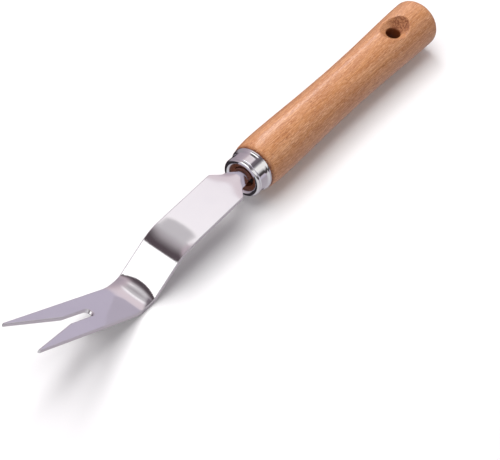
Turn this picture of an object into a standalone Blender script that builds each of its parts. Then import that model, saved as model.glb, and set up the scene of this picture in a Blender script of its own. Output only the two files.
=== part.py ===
"""Hand weeder: a forked, cranked steel blade held in a ferruled wooden handle.

Units are metres. The tool is modelled about the handle's axis, with the
ferrule's mouth at x = 0, the fork tips towards -x, the butt towards +x and
the blade's upper face towards +z. A parent empty then lays it on its heel
and its butt, so that the lowest points touch z = 0.
"""

import math

import bmesh
import bpy
from mathutils import Matrix, Vector

MM = 0.001
GAP = 0.3 * MM

# Blade: side view of the upper face, from the end of the tang to the tips.
BLADE_HALF_WIDTH = 10.7 * MM
BLADE_THICKNESS = 2.2 * MM
TIP_THICKNESS = 1.7 * MM
TANG_REACH = 56.0 * MM
TANG_TOP = 5.5 * MM
NECK_BEND_X = -11.0 * MM
CRANK_X = -58.5 * MM
CRANK_Z = 3.1 * MM
HEEL_FOLD_X = -78.332 * MM
HEEL_FOLD_Z = -12.379 * MM
HEEL_SWEEP_X = -86.451 * MM
HEEL_SWEEP_Z = -14.1 * MM
TIP_X = -157.8 * MM
TIP_Z = 28.48 * MM
NECK_BEND_RADIUS = 60.0 * MM
CRANK_RADIUS = 18.0 * MM
HEEL_FOLD_RADIUS = 5.5 * MM
HEEL_SWEEP_RADIUS = 17.0 * MM

# Blade: outline of the flat blank.
SHOULDER_S = 13.0 * MM
SHOULDER_CORNER = 1.2 * MM
NECK_S = 8.0 * MM
NECK_HALF_WIDTH = 6.5 * MM
NECK_FILLET = 3.0 * MM
TANG_END_HALF_WIDTH = 4.5 * MM
TANG_CORNER = 1.5 * MM
SLOT_HALF_WIDTH = 2.45 * MM
SLOT_DEPTH = 54.0 * MM
MOUTH_DEPTH = 34.0 * MM
MOUTH_CORNER = 4.0 * MM
TINE_POINT_INNER_Y = 9.85 * MM
TINE_POINT_SETBACK = 0.9 * MM
BLANK_EDGE = 0.45 * MM

# Blade: the neck is rolled into a gutter that enters the round bore.
GUTTER_RADIUS = TANG_TOP
ROLL_START_S = 17.0 * MM
ROLL_END_S = 1.5 * MM
ROLL_LINES = (0.0, 1.1, 2.2, 3.3, 4.4, 5.5, 7.0, 8.6)

# Handle: (distance from the ferrule's mouth, radius), in millimetres.
BARREL = (
    (12.0, 12.75),
    (16.5, 13.15),
    (24.0, 13.25),
    (34.0, 13.15),
    (47.0, 12.85),
    (60.0, 12.55),
    (74.0, 12.35),
    (88.0, 12.28),
    (102.0, 12.42),
    (115.0, 12.7),
    (127.0, 13.1),
    (139.0, 13.5),
    (149.0, 13.77),
    (156.0, 13.85),
)
BARREL_START = 9.6 * MM
BARREL_START_RADIUS = 12.1 * MM
BARREL_EASE_X = 10.4 * MM
BARREL_EASE_RADIUS = 12.45 * MM
BUTT_X = 163.2 * MM
BUTT_CORNER = 3.5 * MM
BUTT_DOME = 0.8 * MM
SPIGOT_START = 1.9 * MM
SPIGOT_RADIUS = 9.4 * MM
TANG_BORE_RADIUS = 5.9 * MM
TANG_BORE_END = 60.0 * MM
HANG_HOLE_X = 134.5 * MM
HANG_HOLE_RADIUS = 4.1 * MM
HANG_HOLE_SURFACE = 13.35 * MM
COUNTERSINK_DEPTH = 4.4 * MM
COUNTERSINK_HALF_ANGLE = math.radians(55.0)

# Ferrule: a flanged cup with a rolled lip.
FERRULE_LENGTH = 9.3 * MM
FERRULE_RADIUS = 10.95 * MM
FERRULE_BORE_RADIUS = 9.7 * MM
FLARE_START = 6.2 * MM
FLARE_ANGLE = math.radians(50.0)
FLARE_COVE = 2.2 * MM
FLARE_BEAD = 0.9 * MM
FLANGE_CORNER = 0.3 * MM
LIP_RADIUS = 11.0 * MM
LIP_HOLE_RADIUS = 8.0 * MM
LIP_BACK = 1.6 * MM
GROOVE_X = 1.75 * MM
GROOVE_RADIUS = 10.4 * MM
GROOVE_WIDTH = 0.9 * MM

# Resin that beds the tang in the bore.
RESIN_START = 5.0 * MM
RESIN_END = 54.0 * MM
RESIN_RADIUS = TANG_BORE_RADIUS - GAP
RESIN_RIDGE_RADIUS = TANG_TOP - BLADE_THICKNESS - GAP
RESIN_TOP = -1.2 * MM

TURN_STEPS = 72
CUTTER_STEPS = 40
CUTTER_OVERRUN = 3.0 * MM
ROLL_STEPS = 11
TANG_STEPS = 3
BEND_STEP = math.radians(7.0)
TOLERANCE = 1.0e-6
SLIVER = 0.06 * MM
FLAT_CURVATURE = 0.05


def clear_scene():
    """Remove every object that the file opens with."""
    for obj in list(bpy.data.objects):
        bpy.data.objects.remove(obj, do_unlink=True)


def new_collection(name):
    """Add a collection to the scene."""
    collection = bpy.data.collections.new(name)
    bpy.context.scene.collection.children.link(collection)
    return collection


def make_material(name, colour, roughness, metallic):
    """A plain Principled material."""
    material = bpy.data.materials.new(name)
    material.use_nodes = True
    shader = material.node_tree.nodes["Principled BSDF"]
    shader.inputs["Base Color"].default_value = (*colour, 1.0)
    shader.inputs["Roughness"].default_value = roughness
    shader.inputs["Metallic"].default_value = metallic
    return material


def polished_steel():
    """Mirror-polished stainless steel of the blade."""
    return make_material("polished_steel", (0.80, 0.79, 0.82), 0.10, 1.0)


def bright_chrome():
    """Chrome plating of the ferrule."""
    return make_material("bright_chrome", (0.88, 0.88, 0.90), 0.05, 1.0)


def lacquered_ash():
    """Clear-lacquered, light reddish-brown wood of the handle."""
    return make_material("lacquered_ash", (0.60, 0.33, 0.18), 0.35, 0.0)


def cured_resin():
    """Dark amber resin in the handle's bore."""
    return make_material("cured_resin", (0.16, 0.09, 0.04), 0.45, 0.0)


def smooth_by_angle(obj, degrees=30.0):
    """Shade the object smooth and keep its real edges sharp."""
    obj.data.shade_smooth()
    obj.data.set_sharp_from_angle(angle=math.radians(degrees))


def mesh_object(name, bm, collection, material=None):
    """Wrap a bmesh in an object."""
    mesh = bpy.data.meshes.new(name)
    bm.to_mesh(mesh)
    bm.free()
    obj = bpy.data.objects.new(name, mesh)
    if material is not None:
        mesh.materials.append(material)
    collection.objects.link(obj)
    return obj


def face_outwards(bm):
    """Turn every face of a closed body outwards."""
    bmesh.ops.recalc_face_normals(bm, faces=bm.faces)
    if bm.calc_volume(signed=True) < 0.0:
        bmesh.ops.reverse_faces(bm, faces=bm.faces)


def evaluated_mesh(obj):
    """The object's mesh with its modifiers applied."""
    depsgraph = bpy.context.evaluated_depsgraph_get()
    return bpy.data.meshes.new_from_object(obj.evaluated_get(depsgraph))


def arc_points(centre, radius, start, end, steps):
    """Points on an arc, angles in radians, both ends included."""
    points = []
    for i in range(steps + 1):
        angle = start + (end - start) * i / steps
        points.append((centre[0] + radius * math.cos(angle), centre[1] + radius * math.sin(angle)))
    return points


def rounded_corner(before, corner, after, radius, steps):
    """The arc that replaces a corner of an outline."""
    a = Vector(before) - Vector(corner)
    b = Vector(after) - Vector(corner)
    a.normalize()
    b.normalize()
    half = 0.5 * a.angle(b)
    setback = radius / math.tan(half)
    bisector = (a + b).normalized()
    centre = Vector(corner) + bisector * (radius / math.sin(half))
    first = Vector(corner) + a * setback - centre
    last = Vector(corner) + b * setback - centre
    start = math.atan2(first.y, first.x)
    sweep = math.atan2(first.x * last.y - first.y * last.x, first.dot(last))
    return arc_points(centre, radius, start, start + sweep, steps)


# ---------------------------------------------------------------- blade


def blade_path():
    """Upper face in side view, as straight runs and bends.

    Each piece is (start point, start direction, length, curvature), with
    curvature positive where the blade turns upwards on its way to the tips.
    """
    knots = [
        Vector((TANG_REACH, TANG_TOP)),
        Vector((NECK_BEND_X, TANG_TOP)),
        Vector((CRANK_X, CRANK_Z)),
        Vector((HEEL_FOLD_X, HEEL_FOLD_Z)),
        Vector((HEEL_SWEEP_X, HEEL_SWEEP_Z)),
        Vector((TIP_X, TIP_Z)),
    ]
    radii = [0.0, NECK_BEND_RADIUS, CRANK_RADIUS, HEEL_FOLD_RADIUS, HEEL_SWEEP_RADIUS, 0.0]
    pieces = []
    cursor = knots[0]
    for i in range(1, len(knots) - 1):
        inward = (knots[i] - knots[i - 1]).normalized()
        outward = (knots[i + 1] - knots[i]).normalized()
        turn = math.atan2(outward.x * inward.y - outward.y * inward.x, inward.dot(outward))
        setback = radii[i] * math.tan(abs(turn) / 2.0)
        bend_start = knots[i] - inward * setback
        pieces.append((cursor, inward, (bend_start - cursor).length, 0.0))
        pieces.append((bend_start, inward, radii[i] * abs(turn), math.copysign(1.0 / radii[i], turn)))
        cursor = knots[i] + outward * setback
    last = (knots[-1] - cursor).normalized()
    pieces.append((cursor, last, (knots[-1] - cursor).length, 0.0))
    return pieces


def path_length(pieces):
    """Developed length from the tang's end to the tips."""
    return sum(piece[2] for piece in pieces)


def turned(direction, angle):
    """Direction after a turn, positive upwards for travel towards -x."""
    c = math.cos(angle)
    s = math.sin(angle)
    return Vector((direction.x * c + direction.y * s, direction.y * c - direction.x * s))


def path_frame(pieces, distance):
    """Point and travel direction at a distance along the path."""
    travelled = 0.0
    for start, direction, length, curvature in pieces:
        local = distance - travelled
        if local <= length or (start, direction, length, curvature) == pieces[-1]:
            break
        travelled += length
    if curvature == 0.0:
        return start + direction * local, direction
    angle = curvature * local
    heading = turned(direction, angle)
    centre_side = turned(direction, math.pi / 2.0)
    point = start + (direction * math.sin(angle) + centre_side * (1.0 - math.cos(angle))) / curvature
    return point, heading


def roll_curvature(s):
    """Curvature across the blade, from flat to the neck's full gutter."""
    if s >= ROLL_START_S:
        return 0.0
    if s <= ROLL_END_S:
        return 1.0 / GUTTER_RADIUS
    t = (ROLL_START_S - s) / (ROLL_START_S - ROLL_END_S)
    return t * t * t / GUTTER_RADIUS


def blade_thickness(s, blank_length):
    """Full thickness, thinning along the fork towards its tips."""
    fork_root = blank_length - SLOT_DEPTH
    t = min(1.0, max(0.0, (s - fork_root) / SLOT_DEPTH))
    return BLADE_THICKNESS + (TIP_THICKNESS - BLADE_THICKNESS) * t


def blade_point(pieces, blank_length, s, y, depth):
    """Place a point of the flat blank on the bent and rolled blade.

    s runs from the ferrule's mouth towards the tips, y across the blade, and
    depth from 0 on the upper face to 1 on the lower face.
    """
    point, heading = path_frame(pieces, s + TANG_REACH)
    normal = Vector((heading.y, -heading.x))
    drop = -depth * blade_thickness(s, blank_length)
    curvature = roll_curvature(s)
    if curvature > FLAT_CURVATURE:
        radius = 1.0 / curvature
        angle = y * curvature
        across = (radius + drop) * math.sin(angle)
        lift = (radius + drop) * math.cos(angle) - radius
    else:
        across = y
        lift = drop
    placed = point + normal * lift
    return Vector((placed.x, across, placed.y))


def blank_half_outline(tip_s):
    """One side of the blank, from the tang's end round to the slot's root."""
    tang_end = (-TANG_REACH, TANG_END_HALF_WIDTH)
    neck = (NECK_S, NECK_HALF_WIDTH)
    shoulder = (SHOULDER_S, BLADE_HALF_WIDTH)
    point_outer = (tip_s - TINE_POINT_SETBACK, BLADE_HALF_WIDTH)
    point_inner = (tip_s, TINE_POINT_INNER_Y)
    throat = (tip_s - MOUTH_DEPTH, SLOT_HALF_WIDTH)
    root_centre = (tip_s - SLOT_DEPTH + SLOT_HALF_WIDTH, 0.0)
    points = []
    points += rounded_corner((-TANG_REACH, 0.0), tang_end, neck, TANG_CORNER, 3)
    points += rounded_corner(tang_end, neck, shoulder, NECK_FILLET, 4)
    points += rounded_corner(neck, shoulder, point_outer, SHOULDER_CORNER, 4)
    points.append(point_outer)
    points.append(point_inner)
    points += rounded_corner(point_inner, throat, (root_centre[0], SLOT_HALF_WIDTH), MOUTH_CORNER, 3)
    root = arc_points(root_centre, SLOT_HALF_WIDTH, math.pi / 2.0, math.pi, 6)
    points += root[:-1]
    return points


def blank_outline(tip_s):
    """Closed outline of the blank, symmetric about its centre line."""
    side = blank_half_outline(tip_s)
    root = (tip_s - SLOT_DEPTH, 0.0)
    other = [(x, -y) for x, y in reversed(side)]
    return side + [root] + other


def flat_blank(tip_s):
    """The stamped blank with eased edges, thickness from z = -1 to 0."""
    curve = bpy.data.curves.new("blank", "CURVE")
    curve.dimensions = "2D"
    curve.fill_mode = "BOTH"
    curve.extrude = BLADE_THICKNESS / 2.0
    outline = blank_outline(tip_s)
    spline = curve.splines.new("POLY")
    spline.points.add(len(outline) - 1)
    for point, (x, y) in zip(spline.points, outline):
        point.co = (x, y, 0.0, 1.0)
    spline.use_cyclic_u = True
    blank = bpy.data.objects.new("blank", curve)
    bpy.context.scene.collection.objects.link(blank)
    mesh = evaluated_mesh(blank)
    bpy.data.objects.remove(blank, do_unlink=True)
    bm = bmesh.new()
    bm.from_mesh(mesh)
    bmesh.ops.remove_doubles(bm, verts=bm.verts, dist=TOLERANCE)
    bmesh.ops.dissolve_limit(bm, angle_limit=math.radians(1.0), verts=bm.verts, edges=bm.edges)
    rims = [e for e in bm.edges if abs(e.calc_face_angle(0.0)) > math.radians(60.0)]
    rims = [e for e in rims if abs(e.verts[0].co.z - e.verts[1].co.z) < TOLERANCE]
    bmesh.ops.bevel(
        bm,
        geom=rims,
        offset=BLANK_EDGE,
        offset_type="OFFSET",
        segments=2,
        profile=0.5,
        affect="EDGES",
        clamp_overlap=True,
    )
    return bm


def cut_lines(bm, axis, values, limit=None):
    """Score the blank along lines of constant x or y."""
    normal = Vector((1.0, 0.0, 0.0)) if axis == "x" else Vector((0.0, 1.0, 0.0))
    for value in values:
        faces = list(bm.faces)
        if limit is not None:
            faces = [f for f in faces if f.calc_center_median().x < limit]
        edges = {e for f in faces for e in f.edges}
        verts = {v for f in faces for v in f.verts}
        bmesh.ops.bisect_plane(
            bm,
            geom=list(verts) + list(edges) + faces,
            dist=TOLERANCE,
            plane_co=normal * value,
            plane_no=normal,
        )


def bend_lines(pieces):
    """Stations that carry the bends and the rolled neck."""
    lines = []
    travelled = -TANG_REACH
    for _, _, length, curvature in pieces:
        if curvature != 0.0:
            angle = abs(curvature) * length
            steps = max(2, math.ceil(angle / BEND_STEP))
            lines += [travelled + length * i / steps for i in range(steps + 1)]
        travelled += length
    for i in range(ROLL_STEPS + 1):
        lines.append(ROLL_END_S + (ROLL_START_S - ROLL_END_S) * i / ROLL_STEPS)
    for i in range(1, TANG_STEPS):
        lines.append(ROLL_END_S - (TANG_REACH + ROLL_END_S) * i / TANG_STEPS)
    return sorted(lines)


def roll_lines():
    """Lines along the blade that carry the roll of the neck."""
    lines = [value * MM for value in ROLL_LINES]
    return [-value for value in lines[:0:-1]] + lines


def make_blade(collection, material):
    """Forked blade, bent down at its crank and up at its heel, its neck a gutter."""
    pieces = blade_path()
    blank_length = path_length(pieces) - TANG_REACH
    bm = flat_blank(blank_length)
    cut_lines(bm, "x", bend_lines(pieces))
    cut_lines(bm, "y", roll_lines(), limit=ROLL_START_S)
    bmesh.ops.remove_doubles(bm, verts=bm.verts, dist=SLIVER)
    bmesh.ops.triangulate(bm, faces=bm.faces, quad_method="BEAUTY", ngon_method="BEAUTY")
    half = BLADE_THICKNESS / 2.0
    for vert in bm.verts:
        depth = (half - vert.co.z) / BLADE_THICKNESS
        vert.co = blade_point(pieces, blank_length, vert.co.x, vert.co.y, depth)
    face_outwards(bm)
    obj = mesh_object("blade", bm, collection, material)
    smooth_by_angle(obj, 32.0)
    return obj


# --------------------------------------------------------------- handle


def turned_piece(name, profile, closed, collection, material=None):
    """Turn a (distance along x, radius) profile about the x axis."""
    bm = bmesh.new()
    verts = [bm.verts.new((radius, 0.0, along)) for along, radius in profile]
    for first, second in zip(verts, verts[1:]):
        bm.edges.new((first, second))
    if closed:
        bm.edges.new((verts[-1], verts[0]))
    obj = mesh_object(name, bm, collection, material)
    screw = obj.modifiers.new("turn", "SCREW")
    screw.axis = "Z"
    screw.angle = 2.0 * math.pi
    screw.steps = TURN_STEPS
    screw.render_steps = TURN_STEPS
    screw.use_merge_vertices = True
    screw.merge_threshold = 0.00001
    screw.use_smooth_shade = True
    obj.rotation_euler = (0.0, math.pi / 2.0, 0.0)
    return obj


def handle_profile():
    """Handle from its butt to the front of its spigot."""
    butt = [(BUTT_X, 0.0)]
    rim_radius = BARREL[-1][1] * MM - BUTT_CORNER
    for i in range(1, 4):
        radius = rim_radius * i / 3
        drop = BUTT_DOME * (radius / rim_radius) ** 2
        butt.append((BUTT_X - drop, radius))
    corner = (BUTT_X - BUTT_DOME - BUTT_CORNER, rim_radius)
    corner_arc = arc_points(corner, BUTT_CORNER, 0.0, math.pi / 2.0, 6)
    barrel = [(x * MM, r * MM) for x, r in reversed(BARREL)]
    front = [
        (BARREL_EASE_X, BARREL_EASE_RADIUS),
        (BARREL_START, BARREL_START_RADIUS),
        (BARREL_START, SPIGOT_RADIUS),
        (SPIGOT_START, SPIGOT_RADIUS),
        (SPIGOT_START, 0.0),
    ]
    return butt + corner_arc[1:] + barrel + front


def hang_hole_profile():
    """Hourglass of the hang hole: a bore with a countersink at each end."""
    reach = HANG_HOLE_SURFACE + CUTTER_OVERRUN
    root = HANG_HOLE_SURFACE - COUNTERSINK_DEPTH
    mouth = HANG_HOLE_RADIUS + (reach - root) * math.tan(COUNTERSINK_HALF_ANGLE)
    upper = [(reach, 0.0), (reach, mouth), (root, HANG_HOLE_RADIUS)]
    lower = [(-along, radius) for along, radius in reversed(upper)]
    return upper + lower


def cylinder_cutter(name, radius, length, collection):
    """A plain cylinder along its own z axis."""
    bm = bmesh.new()
    bmesh.ops.create_cone(bm, cap_ends=True, segments=CUTTER_STEPS, radius1=radius, radius2=radius, depth=length)
    cutter = mesh_object(name, bm, collection)
    cutter.hide_render = True
    cutter.display_type = "WIRE"
    return cutter


def cut(obj, cutter):
    """Cut one object out of another."""
    boolean = obj.modifiers.new(cutter.name, "BOOLEAN")
    boolean.operation = "DIFFERENCE"
    boolean.solver = "EXACT"
    boolean.object = cutter


def make_handle(collection, cutters, material):
    """Turned handle with a spigot, a tang bore and a countersunk hang hole."""
    handle = turned_piece("handle", handle_profile(), False, collection, material)

    bore_length = TANG_BORE_END - SPIGOT_START + CUTTER_OVERRUN
    bore = cylinder_cutter("cut_tang_bore", TANG_BORE_RADIUS, bore_length, cutters)
    bore.rotation_euler = (0.0, math.pi / 2.0, 0.0)
    bore.location = (TANG_BORE_END - bore_length / 2.0, 0.0, 0.0)
    cut(handle, bore)

    hole = turned_piece("cut_hang_hole", hang_hole_profile(), False, cutters)
    hole.rotation_euler = (0.0, 0.0, 0.0)
    hole.location = (HANG_HOLE_X, 0.0, 0.0)
    hole.hide_render = True
    hole.display_type = "WIRE"
    cut(handle, hole)
    smooth_by_angle(handle, 35.0)
    return handle


# -------------------------------------------------------------- ferrule


def ferrule_profile():
    """Closed section of the ferrule, outer side first, back to front."""
    reach = FLARE_COVE + FLARE_BEAD
    quarter = math.pi / 2.0
    cove_centre = (FLARE_START, FERRULE_RADIUS + FLARE_COVE)
    bead_x = cove_centre[0] + reach * math.sin(FLARE_ANGLE)
    bead_r = cove_centre[1] - reach * math.cos(FLARE_ANGLE)
    corner_centre = (FERRULE_LENGTH - FLANGE_CORNER, bead_r + FLARE_BEAD - FLANGE_CORNER)
    points = arc_points(corner_centre, FLANGE_CORNER, 0.0, quarter, 2)
    points += arc_points((bead_x, bead_r), FLARE_BEAD, quarter, quarter + FLARE_ANGLE, 3)
    cove = arc_points(cove_centre, FLARE_COVE, FLARE_ANGLE - quarter, -quarter, 4)
    points += cove[1:]
    points.append((GROOVE_X + GROOVE_WIDTH / 2.0, FERRULE_RADIUS))
    points.append((GROOVE_X, GROOVE_RADIUS))
    lip_centre = (GROOVE_X - GROOVE_WIDTH / 2.0, (LIP_RADIUS + LIP_HOLE_RADIUS) / 2.0)
    lip_half = (LIP_RADIUS - LIP_HOLE_RADIUS) / 2.0
    for x, r in arc_points((0.0, 0.0), 1.0, math.pi / 2.0, 3.0 * math.pi / 2.0, 8):
        points.append((lip_centre[0] + x * lip_centre[0], lip_centre[1] + r * lip_half))
    points.append((LIP_BACK, LIP_HOLE_RADIUS))
    points.append((LIP_BACK, FERRULE_BORE_RADIUS))
    points.append((FERRULE_LENGTH, FERRULE_BORE_RADIUS))
    return points


def make_ferrule(collection, material):
    """Chromed ferrule: rolled lip, groove, band and flange."""
    ferrule = turned_piece("ferrule", ferrule_profile(), True, collection, material)
    smooth_by_angle(ferrule, 35.0)
    return ferrule


# ---------------------------------------------------------------- resin


def make_resin(collection, material):
    """Resin plug: a half-round bed below the tang and a ridge inside it."""
    rise = math.asin(RESIN_TOP / RESIN_RADIUS)
    bed = arc_points((0.0, 0.0), RESIN_RADIUS, rise, -math.pi - rise, 14)
    ridge_start = math.asin(RESIN_TOP / RESIN_RIDGE_RADIUS)
    ridge = arc_points((0.0, 0.0), RESIN_RIDGE_RADIUS, math.pi - ridge_start, ridge_start, 10)
    curve = bpy.data.curves.new("resin_section", "CURVE")
    curve.dimensions = "2D"
    curve.fill_mode = "BOTH"
    curve.extrude = (RESIN_END - RESIN_START) / 2.0
    outline = bed + ridge
    spline = curve.splines.new("POLY")
    spline.points.add(len(outline) - 1)
    for point, (y, z) in zip(spline.points, outline):
        point.co = (y, z, 0.0, 1.0)
    spline.use_cyclic_u = True
    section = bpy.data.objects.new("resin_section", curve)
    bpy.context.scene.collection.objects.link(section)
    mesh = evaluated_mesh(section)
    bpy.data.objects.remove(section, do_unlink=True)
    bm = bmesh.new()
    bm.from_mesh(mesh)
    bmesh.ops.remove_doubles(bm, verts=bm.verts, dist=TOLERANCE)
    face_outwards(bm)
    resin = mesh_object("tang_resin", bm, collection, material)
    resin.rotation_euler = (math.pi / 2.0, 0.0, math.pi / 2.0)
    resin.location = ((RESIN_START + RESIN_END) / 2.0, 0.0, 0.0)
    smooth_by_angle(resin, 35.0)
    return resin


# ------------------------------------------------------------- assembly


def resting_pose(parts):
    """Empty that lays the tool on its heel and butt and centres its base."""
    bpy.context.view_layer.update()
    points = []
    for obj in parts:
        mesh = evaluated_mesh(obj)
        points += [obj.matrix_world @ vert.co for vert in mesh.vertices]
        bpy.data.meshes.remove(mesh)
    split = 0.5 * (HEEL_SWEEP_X + BUTT_X)
    heel_side = [p for p in points if p.x < split]
    butt_side = [p for p in points if p.x > split]
    tilt = 0.0
    for _ in range(4):
        turn = Matrix.Rotation(tilt, 4, "Y")
        heel = min(heel_side, key=lambda p: (turn @ p).z)
        butt = min(butt_side, key=lambda p: (turn @ p).z)
        tilt = math.atan2(butt.z - heel.z, butt.x - heel.x)
    turn = Matrix.Rotation(tilt, 4, "Y")
    laid = [turn @ p for p in points]
    low = min(p.z for p in laid)
    middle = 0.5 * (min(p.x for p in laid) + max(p.x for p in laid))
    pose = bpy.data.objects.new("resting_pose", None)
    pose.rotation_euler = (0.0, tilt, 0.0)
    pose.location = (-middle, 0.0, -low)
    return pose


def main():
    """Build the weeder."""
    clear_scene()
    collection = new_collection("hand_weeder")
    cutters = new_collection("cutters")
    parts = [
        make_blade(collection, polished_steel()),
        make_ferrule(collection, bright_chrome()),
        make_handle(collection, cutters, lacquered_ash()),
        make_resin(collection, cured_resin()),
    ]
    pose = resting_pose(parts)
    collection.objects.link(pose)
    for obj in parts + list(cutters.objects):
        obj.parent = pose
    bpy.context.view_layer.update()


main()
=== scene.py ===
"""Looks of the hand weeder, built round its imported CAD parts.

The tool is modelled in millimetres about the handle's axis: the ferrule's
mouth is at x = 0, the fork tips lie towards -x, the butt towards +x, and the
blade's upper face looks towards +z. to_world() lays it in its resting pose.
"""

import math

import bmesh
import bpy
import numpy as np
from mathutils import Matrix, Vector, geometry


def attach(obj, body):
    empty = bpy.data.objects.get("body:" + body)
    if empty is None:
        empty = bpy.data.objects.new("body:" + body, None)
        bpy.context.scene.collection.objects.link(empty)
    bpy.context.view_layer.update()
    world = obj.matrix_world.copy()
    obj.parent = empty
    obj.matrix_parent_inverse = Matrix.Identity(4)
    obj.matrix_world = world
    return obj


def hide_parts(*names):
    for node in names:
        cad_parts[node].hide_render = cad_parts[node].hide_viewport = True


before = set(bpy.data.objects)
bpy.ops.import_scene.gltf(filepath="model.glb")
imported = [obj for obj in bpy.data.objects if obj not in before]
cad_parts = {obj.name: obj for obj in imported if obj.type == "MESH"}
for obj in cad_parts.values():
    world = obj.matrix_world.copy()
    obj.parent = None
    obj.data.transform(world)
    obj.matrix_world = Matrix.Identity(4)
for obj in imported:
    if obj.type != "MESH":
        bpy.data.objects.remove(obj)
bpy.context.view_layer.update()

MM = 0.001

# Resting pose: turn about Y, then the place of the ferrule's mouth.
RESTING_TILT = math.radians(0.33981605)
MOUTH_PLACE = (-2.43448, 0.0, 14.792179)

# Blade: side view of the upper face, from the end of the tang to the tips.
BLADE_HALF_WIDTH = 10.7
BLADE_THICKNESS = 2.2
TIP_THICKNESS = 1.7
TANG_REACH = 56.0
TANG_TOP = 5.5
PATH_KNOTS = (
    (TANG_REACH, TANG_TOP),
    (-11.0, TANG_TOP),
    (-58.5, 3.1),
    (-79.66, -13.41),
    (-86.86, -13.86),
    (-157.8, 28.48),
)
BEND_RADII = (0.0, 60.0, 18.0, 5.5, 17.0, 0.0)
STATION = 0.05
BEND_EASE = 1.0

# Blade: outline of the flat blank.
SHOULDER_S = 13.0
SHOULDER_CORNER = 1.2
NECK_S = 8.0
NECK_HALF_WIDTH = 6.5
NECK_FILLET = 3.0
TANG_END_HALF_WIDTH = 4.5
TANG_CORNER = 1.5
SLOT_HALF_WIDTH = 2.45
SLOT_DEPTH = 54.0
MOUTH_DEPTH = 34.0
MOUTH_CORNER = 4.0
TINE_POINT_INNER_Y = 9.85
TINE_POINT_SETBACK = 0.9
TINE_POINT_CORNER = 0.12
EDGE_RADIUS = 0.45

# Blade: the neck rolled into a gutter, and the shallow pressed dishes.
GUTTER_RADIUS = TANG_TOP
ROLL_START_S = 17.0
ROLL_END_S = 1.5
HEEL_BULGE = 3.2
HEEL_FADE = 30.0
CRANK_SLOPE = math.radians(4.0)
CRANK_AHEAD = 9.0
CRANK_BULGE = 1.2
CRANK_ROUND = 1.6

# Handle: distance from the ferrule's mouth and radius.
BARREL = (
    (12.0, 12.75),
    (16.5, 13.15),
    (24.0, 13.25),
    (34.0, 13.15),
    (47.0, 12.85),
    (60.0, 12.55),
    (74.0, 12.35),
    (88.0, 12.28),
    (102.0, 12.42),
    (115.0, 12.7),
    (127.0, 13.1),
    (139.0, 13.5),
    (149.0, 13.77),
    (156.0, 13.85),
)
BARREL_START = 9.6
BARREL_START_RADIUS = 12.1
BARREL_START_SETBACK = 0.8
BARREL_START_EASED = 12.45
BUTT_X = 163.2
BUTT_CORNER = 3.5
BUTT_DOME = 0.8
SPIGOT_START = 1.9
SPIGOT_RADIUS = 9.4
TANG_BORE_RADIUS = 5.9
TANG_BORE_END = 60.0
HANG_HOLE_X = 134.5
HANG_HOLE_RADIUS = 4.1
HANG_HOLE_SURFACE = 13.35
COUNTERSINK_DEPTH = 4.4
COUNTERSINK_HALF_ANGLE = math.radians(55.0)
RIM_EASE = 0.55
THROAT_EASE = 0.7

# Ferrule.
FERRULE_LENGTH = 9.3
FERRULE_RADIUS = 10.95
FERRULE_BORE_RADIUS = 9.7
FLARE_START = 6.2
FLARE_ANGLE = math.radians(50.0)
FLARE_COVE = 2.2
FLARE_BEAD = 0.9
FLANGE_CORNER = 0.3
LIP_RADIUS = 11.0
LIP_HOLE_RADIUS = 8.0
LIP_BACK = 1.6
GROOVE_X = 1.75
GROOVE_RADIUS = 10.4
GROOVE_WIDTH = 0.9
GROOVE_CORNER = 0.12
GROOVE_FLAT = 0.06
BAND_MIDDLE = 4.0
BAND_EDGE = 0.35

# Mesh density of the blade.
OUTLINE_STEP = 0.6
FINE_STEP = 0.6
COARSE_STEP = 1.8
FINE_REACH = 6.0
FINE_FROM_S = -1.0
GRID_ROWS = 19
GRID_MARGIN = 1.6
GRID_CLEARANCE = 0.3
EDGE_RING_ANGLES = (25.0, 45.0, 65.0, 90.0)
SLOPE_STEP = 0.05
ON_RIM = 1e-4

# Mesh density of the turned pieces.
FERRULE_STEPS = 160
HANDLE_STEPS = 128
HOLE_STEPS = 96
BARREL_STEP = 0.25
BARREL_RINGS = 76
BUTT_BARREL_RINGS = 9
BUTT_RINGS = 8
BORE_RING_X = (40.0, 20.0, 6.0, 3.0)
BORE_CORNER = 0.25
START_CHAMFER = 0.15
SPIGOT_FACE_R = (7.0, 8.0)
START_FACE_R = 11.0
RIM_RINGS = 9
CONE_RINGS = 5
WALL_RINGS = 6
RIM_SEARCH_R = 12.0
RIM_SEARCH_STEPS = 40
FERRULE_SHARP = math.radians(40.0)
HANDLE_SHARP = math.radians(50.0)
WELD = 1e-4
PATCH_REACH = 11.5
PATCH_STEP = 0.75
PATCH_CLEARANCE = 0.4

# Wood: middle of the growth rings beside the handle, and their width.
PITH_Y = -55.0
PITH_Z = 70.0
RING_WIDTH = 3.1
RING_SWAY = 14.0

# Wood: height of the handle's axis, and the distances from it within which the wood of the bores is
# darkened as painted shade, fully inside the first and fading out by the second.
AXIS_HEIGHT = 14.5
BORE_SHADE_RADII = (7.2, 9.3)

# Camera, in the tool's own millimetres; its lens in millimetres.
CAMERA_PLACE = Vector((-427.69, -252.41, 534.53))
CAMERA_RIGHT = Vector((0.600, -0.790, 0.114))
CAMERA_BACK = Vector((-0.570, -0.323, 0.754))
CAMERA_LENS = 106.34
SENSOR_WIDTH = 36.0
CLIP_START = 0.01

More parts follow.
